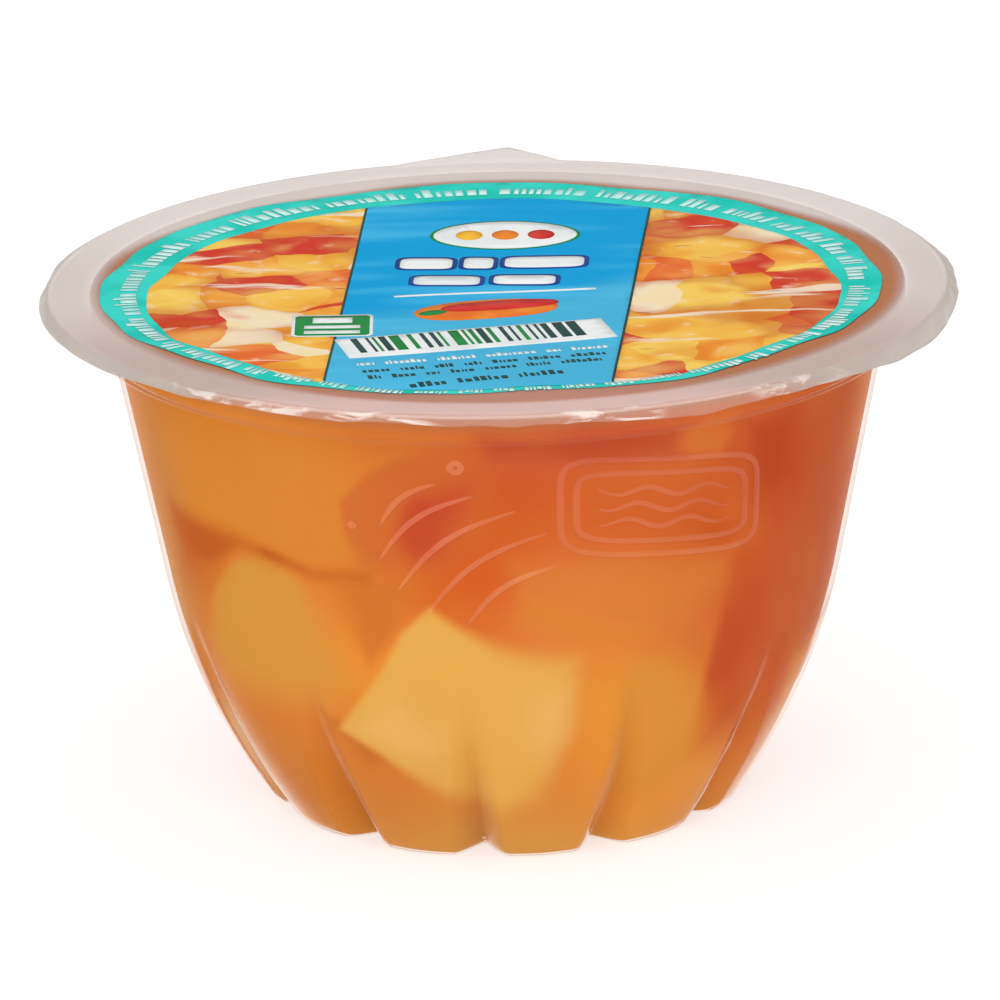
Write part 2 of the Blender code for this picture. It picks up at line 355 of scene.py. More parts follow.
# Soft fields of tone in the juice, most its own colour and two painted light: place along and up, reach
# across and up, tone
TONES_AND_PAINTED_GLOWS = (
    (-26.0, 34.0, 17.0, 13.0, "D6832F"), (-12.0, 20.0, 8.0, 6.0, "DE8830"),
    # Painted glow: the broad field low at the front makes the juice lighter towards the base, as light
    # shining through it
    (0.0, -1.0, 90.0, 8.5, "CF9444"), (-24.0, 6.0, 12.0, 8.0, "C67428"),
    # Painted sheen: the small pale field low at the far left
    (-32.0, 6.0, 3.0, 7.0, "DCB48C"), (1.0, 37.0, 5.5, 4.0, "C55020"),
    (-2.0, 29.0, 7.0, 7.0, "CA5218"), (9.0, 16.0, 4.5, 7.5, "DA8C30"),
    (9.0, 41.0, 12.0, 3.5, "C75636"), (13.0, 33.0, 13.0, 6.0, "C85A26"),
    (11.0, 25.0, 10.0, 5.0, "D87A39"), (27.0, 35.0, 9.0, 9.0, "C04E24"),
    (27.0, 16.0, 8.0, 11.0, "C25A2E"), (15.0, 8.0, 9.0, 7.0, "DE8E34"),
    (36.0, 22.0, 9.0, 24.0, "B45030"), (-38.0, 24.0, 6.0, 24.0, "C27C3A"),
    (20.5, 30.0, 5.0, 6.0, "C05420"),
)
MANGO_TONES = ("E3A44A", "DDA04A", "D98F38", "DB8436")
PAPAYA_TONES = ("CB5029", "C4552A", "D0602E")

# Each piece: turn in degrees, corners in mm, start behind the wall, lean across and up,
# tone, way to its crisp side in degrees, softness there and opposite in mm, strength
MANGO_FRONT = (
    (0, ((-37.0, 38.5), (-35.0, 42.5), (-14.5, 42.5), (-12.5, 39.0), (-13.5, 35.0), (-12.5, 30.5),
         (-17.0, 29.0), (-20.0, 29.0), (-24.0, 30.0), (-32.5, 30.0)), 0.3, (0.03, 0.0),
     "D98631", -80, 0.9, 8.0, 0.85),
    (0, ((-32.0, 18.0), (-30.0, 23.5), (-27.0, 27.0), (-24.5, 28.5), (-22.0, 28.5), (-19.0, 27.5),
         (-17.0, 25.0), (-15.0, 21.5), (-13.5, 18.0), (-16.5, 14.5), (-24.5, 13.5), (-29.5, 14.0)),
     0.2, (0.08, -0.02), "D8963E", 110, 0.9, 6.5, 0.95),
    (0, ((-15.5, 13.0), (-11.0, 19.5), (-9.0, 23.5), (-6.5, 26.0), (-3.5, 24.0), (-0.5, 22.5),
         (1.5, 22.0), (6.5, 21.0), (6.5, 18.5), (6.0, 14.5), (4.5, 11.0), (3.0, 6.5), (-0.5, 4.5),
         (-4.5, 6.0), (-7.5, 8.0), (-11.5, 11.0)), 0.0, (-0.02, 0.04), "E6AB50", 165, 0.9, 3.6, 1.0),
    (0, ((0.5, 30.5), (12.0, 30.0), (21.5, 29.0), (21.0, 25.5), (16.0, 22.0), (11.0, 23.0),
         (4.5, 25.5), (1.0, 27.0)), 0.5, (0.0, 0.05), "D97D38", -110, 1.6, 5.0, 0.8),
    (0, ((10.5, 20.5), (14.5, 20.5), (18.5, 17.5), (20.5, 12.0), (18.5, 7.5), (14.0, 4.5),
         (10.0, 5.0), (9.5, 12.5)), 0.7, (0.06, -0.02), "DC9138", 180, 1.6, 6.0, 0.9),
    (0, ((15.5, 40.0), (17.5, 43.0), (20.5, 42.5), (21.5, 40.0), (20.0, 38.0), (17.0, 38.5)), 0.2,
     (0.0, 0.0), "DA7434", -100, 1.2, 2.2, 0.9),
)
LARGE_BLOCK = MANGO_FRONT[2]
PAPAYA_FRONT = (
    (0, ((-14.5, 35.5), (-11.5, 38.5), (-9.0, 40.0), (-5.5, 41.0), (-1.5, 41.0), (-1.0, 36.5),
         (-2.0, 32.5), (-4.5, 29.5), (-9.5, 28.5), (-12.5, 29.0), (-14.0, 31.5)), 0.3, (0.02, 0.02),
     "CF6830", 150, 1.0, 5.0, 0.8),
    (0, ((-9.0, 35.5), (-7.5, 37.0), (-4.5, 38.0), (-2.0, 38.5), (-2.5, 35.0), (-4.0, 32.0),
         (-5.5, 30.0), (-8.0, 30.0), (-9.5, 32.0)), 0.1, (0.02, 0.02), "C7482A", 180, 2.2, 4.5, 1.0),
    (0, ((22.5, 27.5), (20.5, 23.5), (18.5, 17.5), (17.5, 9.0), (25.5, 8.0), (28.0, 18.0),
         (27.5, 26.0)), 0.2, (0.02, 0.0), "C24E25", 165, 1.6, 13.0, 0.95),
    (0, ((-2.0, 43.0), (6.5, 43.0), (16.0, 42.0), (15.5, 38.5), (6.5, 39.5), (-1.5, 40.0)), 0.3,
     (0.0, 0.0), "C04E2C", -90, 1.4, 4.0, 0.9),
    (0, ((23.0, 40.5), (29.0, 40.5), (30.0, 34.0), (27.0, 30.0), (23.5, 32.5)), 0.2, (0.05, 0.0),
     "BC4620", 160, 3.0, 7.0, 0.85),
)

# Pieces at the left and right side, which the front hides
MANGO_SIDE = (
    (-86, ((-8.0, 15.0), (-6.5, 27.0), (4.0, 29.5), (8.0, 19.0), (2.0, 12.5)), 0.5, (0.0, 0.0),
     "D28A3C", 100, 1.4, 4.0, 0.8),
    (78, ((-6.0, 5.0), (-7.0, 15.0), (5.5, 16.5), (8.5, 7.0)), 0.5, (0.0, 0.0),
     "D88436", 250, 1.4, 4.0, 0.8),
)
PAPAYA_SIDE = (
    (80, ((-7.0, 22.0), (-5.0, 33.0), (6.5, 31.0), (7.5, 21.5), (0.5, 18.5)), 0.5, (0.0, 0.0),
     "C05228", 60, 1.4, 4.0, 0.8),
)

# Rows of further pieces round the back: height, first turn, last turn, step in degrees
BACK_ROWS = ((35.5, 104.0, 262.0, 25.0), (21.5, 104.0, 262.0, 25.0), (9.5, 100.0, 266.0, 29.0))

# Painted shade: dark seams between pieces, where shadow falls in the juice, painted like pieces but without
# a solid
SHADE_SEAMS = (
    (0, ((-37.0, 30.5), (-26.0, 30.5), (-20.5, 29.5), (-17.0, 28.5), (-11.5, 29.0), (-11.5, 27.5),
         (-17.0, 27.5), (-20.5, 28.0), (-26.0, 28.5), (-36.5, 27.5)), "B85418", 60, 1.4, 4.5, 0.95),
    (0, ((-37.5, 30.0), (-25.0, 29.5), (-27.5, 26.5), (-31.5, 23.0), (-36.5, 23.0)), "C05C20", 80,
     1.6, 8.0, 0.9),
    (0, ((-16.0, 28.5), (-7.5, 28.5), (-9.5, 23.0), (-12.0, 19.5), (-13.5, 22.5)), "D0742C", -60,
     1.6, 4.0, 0.85),
    (0, ((-18.0, 14.5), (-15.0, 14.0), (-10.5, 10.5), (-12.5, 9.5)), "BC6424", 60, 1.2, 3.5, 0.7),
    (0, ((1.5, 27.5), (8.0, 24.5), (13.5, 23.0), (12.5, 21.5), (6.5, 22.0), (1.0, 24.5)), "D6842E",
     70, 1.4, 4.5, 0.75),
    (0, ((-1.0, 41.0), (8.0, 40.5), (20.0, 38.5), (20.0, 38.0), (8.0, 40.0), (-1.0, 40.0)), "BE5630",
     -90, 0.8, 1.6, 0.6),
)

# The large mango block is painted paler at two places
PALE_PLACES = (
    (0, ((-14.5, 13.0), (-9.5, 18.0), (-4.5, 14.0), (-5.0, 8.0), (-10.5, 11.0)), "E4B66C", 200, 3.0,
     5.0, 0.5),
    (0, ((1.5, 18.0), (6.0, 18.5), (6.0, 13.0), (3.5, 9.0), (0.5, 13.0)), "E6B670", 0, 3.0, 5.0, 0.45),
)


def linear(code):
    return np.array(srgb(code)[:3])


def belt(z):
    """Radius in mm that turns an angle into a place along the wall, for a height in mm."""
    return wall_radius(max(LOW_BELT, z) * MM) / MM


def turned(x, y, tilt):
    """A flat point turned round the origin by a tilt in degrees."""
    c, s = math.cos(math.radians(tilt)), math.sin(math.radians(tilt))
    return x * c - y * s, x * s + y * c


def uneven_corners(wide, tall, tilt, rng):
    """An uneven four or five sided outline round its middle, in mm."""
    corners = []
    sides = rng.choice((4, 4, 5))
    for k in range(sides):
        t = 2.0 * math.pi * (k + 0.5 + rng.uniform(-0.18, 0.18)) / sides
        corners.append(turned(0.68 * wide * math.cos(t), 0.68 * tall * math.sin(t), tilt))
    return corners


def all_pieces():
    """The front and side pieces and, round the rest of the cup, rows of others by chance."""
    rng = random.Random(11)
    mango_all, papaya_all = list(MANGO_FRONT + MANGO_SIDE), list(PAPAYA_FRONT + PAPAYA_SIDE)
    for z, turn, stop, step in BACK_ROWS:
        while turn < stop:
            lift = z + rng.uniform(-2.0, 2.0)
            wide, tall = rng.uniform(12.0, 17.0), rng.uniform(10.0, 14.0)
            outline = uneven_corners(wide, tall, rng.uniform(-35.0, 35.0), rng)
            outline = tuple((x, min(43.0, max(1.5, v + lift))) for x, v in outline)
            is_papaya = rng.random() < 0.4
            tone = rng.choice(PAPAYA_TONES if is_papaya else MANGO_TONES)
            (papaya_all if is_papaya else mango_all).append(
                (turn, outline, rng.uniform(0.0, 0.9), (rng.uniform(-0.1, 0.1), rng.uniform(-0.1, 0.1)),
                 tone, rng.uniform(0.0, 360.0), rng.uniform(0.9, 1.8), rng.uniform(2.5, 6.0), 0.9))
            turn += step * rng.uniform(0.85, 1.15)
    return mango_all, papaya_all


def paint_of(cuts):
    """What the painting of a piece needs, without its start behind the wall and its lean."""
    return [(turn, outline, *paint) for turn, outline, _, _, *paint in cuts]


def painting_order():
    """From the back of the cup to the front, with the large block over the painted shade seams."""
    others = mango_cuts[len(MANGO_FRONT):] + papaya_cuts[len(PAPAYA_FRONT):]
    front = [cut for cut in MANGO_FRONT + PAPAYA_FRONT if cut is not LARGE_BLOCK]
    return paint_of(others + front) + list(SHADE_SEAMS) + paint_of([LARGE_BLOCK]) + list(PALE_PLACES)


mango_cuts, papaya_cuts = all_pieces()
painting = painting_order()


def outline_distance(px, pz, outline):
    """Distance from places to an outline, negative inside it, in mm."""
    inside = np.zeros(px.shape, bool)
    best = np.full(px.shape, 1e9)
    for (ax, az), (bx, bz) in zip(outline, tuple(outline[1:]) + tuple(outline[:1])):
        ex, ez = bx - ax, bz - az
        t = np.clip(((px - ax) * ex + (pz - az) * ez) / (ex * ex + ez * ez), 0.0, 1.0)
        best = np.minimum(best, np.hypot(px - ax - t * ex, pz - az - t * ez))
        crosses = (az > pz) != (bz > pz)
        inside ^= crosses & (px < ax + (pz - az) * ex / (ez if ez else 1e-9))
    return np.where(inside, -best, best)


def painted(angle, z, belts):
    """Colours and cover of the soft fields seen in the juice at angles and heights in mm, with painted
    shade at the top.
    """
    along = angle * belts
    colour = np.tile(linear(BASE_TONE), (len(angle), 1))
    wander = np.array([noise.noise(Vector((a * 3.0, b * 0.1, 5.0))) for a, b in zip(angle, z)])
    for x, up, wide, tall, tone in TONES_AND_PAINTED_GLOWS:
        share = np.exp(-((along - x) / wide) ** 2 - ((z - up) / tall) ** 2) * (1.0 + 0.3 * wander)
        share = np.clip(share, 0.0, 1.0)[:, None]
        colour = colour * (1.0 - share) + linear(tone) * share
    behind = np.clip((np.abs(angle) - BACK_START) / BACK_BLEND, 0.0, 1.0)
    drift = np.clip(0.5 + 1.1 * wander, 0.0, 1.0)[:, None]
    far = linear(FAR_TONES[0]) * (1.0 - drift) + linear(FAR_TONES[1]) * drift
    colour = colour * (1.0 - behind[:, None]) + far * behind[:, None]
    # Painted shade: the juice turns darker towards the top, in the shade under the flange and the film
    shade = np.clip((z - 43.0) / 1.6, 0.0, 0.85)[:, None]
    cover = np.zeros(len(angle))
    for turn, outline, tone, way, crisp, soft, strength in painting:
        off = (angle - math.radians(turn) + math.pi) % (2.0 * math.pi) - math.pi
        px = off * belts
        gap = outline_distance(px, z, outline)
        mx = sum(p[0] for p in outline) / len(outline)
        mz = sum(p[1] for p in outline) / len(outline)
        length = np.hypot(px - mx, z - mz) + 1e-6
        c, s = math.cos(math.radians(way)), math.sin(math.radians(way))
        toward = ((px - mx) * c + (z - mz) * s) / length
        width = soft + (crisp - soft) * np.clip(0.5 + 0.75 * toward, 0.0, 1.0) ** 1.5
        t = np.clip(0.5 - (gap + 0.15 * width) / width, 0.0, 1.0)
        share = (t * t * (3.0 - 2.0 * t) * strength)[:, None]
        colour = colour * (1.0 - share) + linear(tone) * share
        cover = np.maximum(cover * (1.0 - 0.5 * share[:, 0]), share[:, 0])
    colour = colour * (1.0 - shade) + linear(NECK_SHADE_TONE) * shade
    return colour, cover


def paint_mesh(ob, sheer=0.0):
    """Writes the fields' colours, and how thick the juice stands before the fruit."""
    me = ob.data
    spots = np.empty(len(me.vertices) * 3)
    me.vertices.foreach_get("co", spots)
    spots = spots.reshape(-1, 3) / MM
    angle = np.arctan2(spots[:, 0], -spots[:, 1])
    z = spots[:, 2]
    steps = np.linspace(0.0, 46.0, 185)
    belts = np.interp(z, steps, [belt(v) for v in steps])
    colour, cover = painted(angle, z, belts)
    layer = me.attributes.new("field", "FLOAT_COLOR", "POINT")
    layer.data.foreach_set("color", np.concatenate([colour, np.ones((len(colour), 1))], 1).ravel())
    if sheer:
        layer = me.attributes.new("murk", "FLOAT", "POINT")
        layer.data.foreach_set("value", 1.0 - sheer * cover)


def core_mesh():
    rings = []
    for k in range(CORE_RINGS):
        z = (CORE_LOW + CORE_TALL * k / (CORE_RINGS - 1)) * MM
        points = []
        for i in range(CORE_STEPS):
            turn = 2.0 * math.pi * i / CORE_STEPS
            base = wall_radius(min(z, TAPER_TOP[1])) - WALL - CORE_BEHIND - 0.7 * crease(turn, z)
            spot = Vector((math.cos(turn) * 3.2, math.sin(turn) * 3.2, z / MM * 0.11))
            r = base + 1.2 * MM * noise.noise(spot)
            points.append((r * math.cos(turn), r * math.sin(turn), z))
        rings.append(points)
    return loft("fruit_core", rings, start=(0.0, 0.0, 2.0 * MM), end=(0.0, 0.0, 43.6 * MM))


def flesh(name, fibre_scale, pale, shade):
    """Cut flesh: its own field colour with pale and dark fibres and a wet face."""
    mat, tree = material(name)
    place = place_of(tree)
    field = node(tree, "Attribute", attribute_name="field").outputs["Color"]
    fibre = mottle(tree, place, fibre_scale, 4.0, Distortion=0.6)
    colour = mixed(tree, spread(tree, fibre, 0.5, 0.8, 0.0, 0.3), field, pale)
    colour = mixed(tree, spread(tree, fibre, 0.5, 0.2, 0.0, 0.3), colour, shade)
    solid_face(tree, painted_body(tree, colour, roughness=0.5, shine=0.05, bump=(0.2, 0.3 * MM, fibre)))
    return mat


def cut_piece(outline, lean):
    """A piece in the flat: X along the wall, Y in from the wall, Z up, in millimetres."""
    middle = sum((Vector(p) for p in outline), Vector((0.0, 0.0))) / len(outline)
    verts = []
    for depth, scale in ((0.0, 1.0), (CUT_THICK, CUT_NARROWING)):
        for x, z in outline:
            off = (Vector((x, z)) - middle) * scale
            push = lean[0] * off.x + lean[1] * off.y
            verts.append((middle.x + off.x, depth + push, middle.y + off.y))
    count = len(outline)
    faces = [tuple(range(count)), tuple(range(2 * count - 1, count - 1, -1))]
    for i in range(count):
        j = (i + 1) % count
        faces.append((i, i + count, j + count, j))
    ob = add_piece("cut", verts, faces)
    bevel = ob.modifiers.new("soft corners", "BEVEL")
    bevel.width = CUT_CORNER
    bevel.segments = 3
    bevel.limit_method = "ANGLE"
    remesh = ob.modifiers.new("even", "REMESH")
    remesh.mode = "VOXEL"
    remesh.voxel_size = VOXEL
    smooth = ob.modifiers.new("soften", "SMOOTH")
    smooth.iterations = 6
    bpy.context.view_layer.update()
    me = bpy.data.meshes.new_from_object(ob.evaluated_get(bpy.context.evaluated_depsgraph_get()))
    bpy.data.objects.remove(ob, do_unlink=True)
    least = min(v.co.y for v in me.vertices)
    shape = [(v.co.x, v.co.y - least, v.co.z) for v in me.vertices]
    sides = [tuple(p.vertices) for p in me.polygons]
    bpy.data.meshes.remove(me)
    return shape, sides


def behind_wall(turn, x, depth, z, seed):
    """A point in the flat, in millimetres, put behind the wall in the cup, in metres."""
    z = min(max(z, CUT_LOWEST), CUT_HIGHEST)
    angle = math.radians(turn) + x / belt(z)
    pressed = crease(angle - 0.5 * math.pi, z * MM)
    inside = wall_radius(min(z * MM, TAPER_TOP[1])) - WALL - CUT_BEHIND - pressed
    uneven = CUT_UNEVEN * noise.noise(Vector((x * 0.28, depth * 0.28, z * 0.28)) + Vector((seed, 0.0, 0.0)))
    r = inside - max(0.0, depth + uneven) * MM
    return r * math.sin(angle), -r * math.cos(angle), z * MM


def heap_of(name, cuts):
    """All pieces of one kind as one mesh."""
    verts, faces = [], []
    for seed, (turn, outline, start, lean, *_) in enumerate(cuts):
        shape, sides = cut_piece(outline, lean)
        first = len(verts)
        verts += [behind_wall(turn, x, y + start, z, seed * 3.7) for x, y, z in shape]
        faces += [tuple(first + i for i in side) for side in sides]
    return add_piece(name, verts, faces)


fruit_core = core_mesh()
mango = heap_of("mango_pieces", mango_cuts)
papaya = heap_of("papaya_pieces", papaya_cuts)
fruit_core.data.materials.append(flesh("fruit lost in juice", 160.0, "D8883E", "B8501E"))
mango.data.materials.append(flesh("mango flesh", 420.0, "F0C070", "C97C2A"))
papaya.data.materials.append(flesh("papaya flesh", 300.0, "DC7A48", "B03E1C"))
for piece in (fruit_core, mango, papaya):
    paint_mesh(piece)
    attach(piece, "root")
    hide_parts("fruit")

# The juice: cloudy orange juice that fills the cup to the film and reaches just into the
# wall. Where fruit lies close behind the wall it shows through; elsewhere only its colour.

INTO_WALL = 0.25
JUICE_STEPS = 480
SHEER = 0.12
MOUTH_RADIUS = 35.4 * MM
FILM_THICK = 0.15 * MM
INTO_FILM = 0.09 * MM
# Radius and height of the juice's rings in mm: under the base, round the shoulder
JUICE_BASE = ((8.0, 0.1), (14.0, 0.1), (16.6, 0.1), (18.4, 0.1), (20.3, 0.12), (20.72, 0.35))
JUICE_SHOULDER = ((33.5, 41.3), (34.3, 41.9), (35.2, 42.4), (35.5, 42.9), (35.5, 43.8), (35.5, 45.6))
JUICE_TOP = (35.4, 34.6, 33.8, 33.0, 32.0, 31.0, 30.0, 28.0, 25.0, 22.0, 19.0, 16.0, 13.0, 10.0, 7.0,
             4.0, 2.0)
LOW_RINGS = 51
HIGH_RINGS = 44
FILM_SLACK = 0.3 * MM
FILM_UNEVEN = 0.16 * MM


def film_rise(x, y):
    """Height of the film over the mouth against the flange: slack with low waves."""
    r = math.hypot(x, y)
    if r >= MOUTH_RADIUS:
        return 0.0
    turn = math.atan2(y, x)
    slack = -FILM_SLACK * (1.0 - (r / MOUTH_RADIUS) ** 2)
    near_rim = math.exp(-((r - 32.0 * MM) / (2.2 * MM)) ** 2)
    waves = 0.1 * MM * math.sin(8.0 * turn + 1.0) + 0.05 * MM * math.sin(13.0 * turn + 3.0)
    broad = FILM_UNEVEN * noise.noise(Vector((x / MM * 0.07, y / MM * 0.07, 2.0)))
    hold = min(1.0, (MOUTH_RADIUS - r) / (2.0 * MM))
    return slack + (near_rim * waves + broad) * hold


def cloudy_juice():
    mat, tree = material("juice")
    place = place_of(tree)
    field = node(tree, "Attribute", attribute_name="field").outputs["Color"]
    murk = node(tree, "Attribute", attribute_name="murk").outputs["Fac"]
    cloud = mottle(tree, place, 70.0, 3.0)
    colour = mixed(tree, spread(tree, cloud, 0.5, 0.85, 0.0, 0.22), field, "E2904A")
    colour = mixed(tree, spread(tree, cloud, 0.5, 0.15, 0.0, 0.22), colour, "BC5A20")
    body = painted_body(tree, colour, roughness=0.5, shine=0.0)
    see_through(tree, murk, body, tint=srgb("FFF4E4"))
    return mat


def juice_mesh():
    rings = []
    for r, z in JUICE_BASE:
        rings.append(ring(r * MM, z * MM, JUICE_STEPS, pressed=r > 16.5))
    for k in range(LOW_RINGS + 1):
        z = (0.8 + 20.2 * (k / LOW_RINGS) ** 1.1) * MM
        rings.append(ring(wall_radius(z) - (1.0 - INTO_WALL) * thickness(z), z, JUICE_STEPS))
    for k in range(1, HIGH_RINGS + 1):
        z = (21.0 + 20.0 * k / HIGH_RINGS) * MM
        rings.append(ring(wall_radius(z) - (1.0 - INTO_WALL) * WALL, z, JUICE_STEPS))
    for r, z in JUICE_SHOULDER:
        rings.append(ring(r * MM, z * MM, JUICE_STEPS))
    for r in JUICE_TOP:
        top = ring(r * MM, LID_HEIGHT - INTO_FILM, JUICE_STEPS)
        rings.append([(x, y, z + film_rise(x, y)) for x, y, z in top])
    middle = LID_HEIGHT - INTO_FILM + film_rise(0.0, 0.0)
    return loft("juice", rings, start=(0.0, 0.0, JUICE_BASE[0][1] * MM), end=(0.0, 0.0, middle))


juice = juice_mesh()
juice.data.materials.append(cloudy_juice())
paint_mesh(juice, SHEER)
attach(juice, "root")

# The peel film: thin clear film sealed flat on the flange, slightly slack over the mouth.
# Its cut edge stands out past the flange and droops in creases, and a corner tab to pull
# sticks out behind.

FILM_FLAT_RADIUS = 39.1 * MM
FILM_EDGE_RADIUS = 40.0 * MM
FILM_DROOP = 1.15 * MM
RIGHT_DROOP = 0.9 * MM
RIGHT_TURN = math.radians(338.0)
FRONT_DROOP = 0.75 * MM
FRONT_TURN = math.radians(293.5)
FILM_STEPS = 420
# Radii of the film's flat rings in mm, and shares of the way out to the cut edge
FILM_RADII = [k * 3.2 for k in range(1, 10)] + [29.8, 30.8, 31.8, 32.8, 33.8, 34.6, 35.4, 36.4, 37.6,
                                                38.6, 39.1]
SKIRT_SHARES = (0.2, 0.4, 0.6, 0.8, 1.0)
TAB_DROOP = 0.5 * MM
TAB_BLEND = 1.2 * MM
TAB_CORNERS = ((-16.2 * MM, 36.4 * MM), (1.2 * MM, 45.3 * MM), (7.6 * MM, 39.3 * MM))


def tab_reach(turn):
    """Distance from the middle to the edge of the tab in a direction, or 0 beside it."""
    way = Vector((math.cos(turn), math.sin(turn)))
    for first, second in zip(TAB_CORNERS[:-1], TAB_CORNERS[1:]):
        a, b = Vector(first), Vector(second)
        if way.cross(a) >= 0.0 and way.cross(b) <= 0.0 and way.dot(a) > 0.0:
            return a.cross(b) / way.cross(b - a)
    return 0.0


def edge_wave(turn):
    wave = 0.5 * math.sin(5.0 * turn + 0.6) + 0.3 * math.sin(11.0 * turn + 2.1)
    return wave + 0.2 * math.sin(19.0 * turn + 4.0)


def film_plastic():
    mat, tree = material("peel film")
    place = place_of(tree)
    radius, _ = from_axis(tree, place)
    across, depth, _ = node(tree, "SeparateXYZ", {0: place}).outputs
    outside = spread(tree, radius, 38.9 * MM, 39.3 * MM)
    back = spread(tree, depth, 6.0 * MM, 30.0 * MM)
    near = spread(tree, depth, -29.0 * MM, -35.0 * MM)
    front_edge = spread(tree, depth, -26.0 * MM, -34.0 * MM)
    right = spread(tree, across, 8.0 * MM, 28.0 * MM)
    # Milky where it is sealed down, from further in at the back, and hazy before it in front
    further = maths(tree, "ADD", 34.7 * MM, times(tree, right, 0.5 * MM))
    further = maths(tree, "ADD", further, times(tree, front_edge, 0.8 * MM))
    start = node(tree, "Mix", {0: back, 2: further, 3: 32.1 * MM}, data_type="FLOAT").outputs[0]
    sealed = spread(tree, maths(tree, "SUBTRACT", radius, start), -0.9 * MM, 1.1 * MM)
    # Painted highlights: pale streaks where crumples of the cut edge catch the light at the front
    long_way = node(tree, "Mapping", {"Vector": place, "Scale": (0.42, 1.0, 2.4)}).outputs[0]
    crinkle = mottle(tree, long_way, 460.0, 3.0, Roughness=0.6, Distortion=0.8)
    groups = mottle(tree, place, 100.0, 1.0)
    painted_glint = times(tree, spread(tree, crinkle, 0.46, 0.62), spread(tree, groups, 0.42, 0.56), outside,
                   front_edge)
    share = times(tree, sealed, spread(tree, near, 0.0, 1.0, 0.66, 0.5))
    share = maths(tree, "MAXIMUM", share, times(tree, front_edge, 0.2))
    edge = times(tree, outside, spread(tree, front_edge, 0.0, 1.0, 0.1, -0.32))
    share = maths(tree, "ADD", maths(tree, "ADD", share, edge), 0.03)
    share = maths(tree, "ADD", share, times(tree, painted_glint, 0.42), clamp=True)
    # Painted light: the film is paler towards the back, standing in for brighter light there; towards the
    # sides and front it is greyer and pinker
    colour = mixed(tree, spread(tree, depth, 24.0 * MM, 2.0 * MM), "F7EEEA", "EADED8")
    colour = mixed(tree, spread(tree, depth, -4.0 * MM, -24.0 * MM), colour, "D8C2B9")
    colour = mixed(tree, near, colour, "F0D0CA")
    colour = mixed(tree, times(tree, outside, front_edge), colour, "DEB3A2")
    plain = maths(tree, "SUBTRACT", maths(tree, "SUBTRACT", 1.0, near), back, clamp=True)
    colour = mixed(tree, times(tree, outside, plain), colour, "C6BAB0")
    colour = mixed(tree, painted_glint, colour, "FFF2EA")
    rise = times(tree, crinkle, outside)
    body = painted_body(tree, colour, roughness=0.3, shine=0.15, bump=(0.12, 0.3 * MM, rise))
    see_through(tree, share, body)
    return mat


def skirt_point(turn, share):
    """A point of the drooping edge or of the tab: share is 0 at the flange and 1 at the cut."""
    wave = edge_wave(turn)
    crumple = noise.noise(Vector((math.cos(turn) * 14.0, math.sin(turn) * 14.0, share * 1.5)))
    crumple *= 0.6 + 0.4 * math.cos(turn + 0.5 * math.pi - 0.5)
    r = FILM_FLAT_RADIUS + share * (FILM_EDGE_RADIUS - FILM_FLAT_RADIUS)
    r += share * (0.2 * wave + 0.22 * crumple) * MM
    droop = FILM_DROOP * (0.75 + 0.25 * math.sin(turn))
    droop += RIGHT_DROOP * math.exp(-((turn - RIGHT_TURN) / math.radians(22.0)) ** 2)
    droop += FRONT_DROOP * math.exp(-((turn - FRONT_TURN) / math.radians(9.0)) ** 2)
    z = LID_HEIGHT - droop * share ** 1.4 + share * (0.3 * wave + 0.3 * crumple) * MM
    reach = tab_reach(turn)
    if reach > FILM_EDGE_RADIUS:
        blend = min(1.0, (reach - FILM_EDGE_RADIUS) / TAB_BLEND)
        tab_r = FILM_FLAT_RADIUS + share * (reach - FILM_FLAT_RADIUS)
        tab_z = LID_HEIGHT + 0.15 * crumple * MM - TAB_DROOP * share
        r += blend * (tab_r - r)
        z += blend * (tab_z - z)
    return r * math.cos(turn), r * math.sin(turn), z


def film_mesh():
    rings = []
    for r in FILM_RADII:
        flat = ring(r * MM, LID_HEIGHT, FILM_STEPS, pressed=False)
        rings.append([(x, y, z + film_rise(x, y)) for x, y, z in flat])
    turns = [2.0 * math.pi * i / FILM_STEPS for i in range(FILM_STEPS)]
    for share in SKIRT_SHARES:
        rings.append([skirt_point(turn, share) for turn in turns])
    ob = loft("film", rings, start=(0.0, 0.0, LID_HEIGHT + film_rise(0.0, 0.0)))
    solid = ob.modifiers.new("thickness", "SOLIDIFY")
    solid.thickness = FILM_THICK
    solid.offset = -1.0
    return ob


film = film_mesh()
film.data.materials.append(film_plastic())
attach(film, "root")
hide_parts("lid_film")

# The lid print: ink on the film in one printed disc. A turquoise band runs round it and a
# blue stripe crosses it between two fields of fruit colours. The marks on it are plain.

BAND_MIDDLE = (-0.55, -0.8)
BAND_REACH = (33.9, 32.3)
FIELD_MIDDLE = (-0.3, -3.0)
FIELD_REACH = (30.0, 29.2)
INK_STEP = 0.012 * MM
INK_THICK = 0.01 * MM
INK_SHINE = 0.01
STRIPE_OUTLINE = 0.12
DOT_OVAL = (0.8, 14.8)
FRUIT_SHAPE = (-1.0, -8.2)
BARS = (-1.9, -16.8)
BARS_TILT = 13.3
PLAQUE = (-14.2, -12.2)
# Rows of fine marks: height, reach to each side, size in mm, colour
FINE_ROWS = ((-21.6, 11.0, 0.95, "white"), (-23.7, 10.5, 0.95, "dark"), (-25.5, 10.0, 0.95, "dark"),
             (-28.4, 6.5, 1.3, "dark"))
# Rows of rounded white blocks: height, size up, places and widths along
BLOCK_ROWS = ((6.4, 3.3, ((-6.2, 4.6), (-1.6, 2.6), (4.2, 7.0))),
              (0.9, 2.8, ((-4.4, 5.8), (2.4, 5.4))))
# Where each tone of the fruit fields starts, as a share
FRUIT_INKS = ((0.0, "F2B442"), (0.24, "EE9836"), (0.4, "F4C858"), (0.54, "E66C32"), (0.69, "CE2C2C"),
              (0.88, "F2E0C2"))


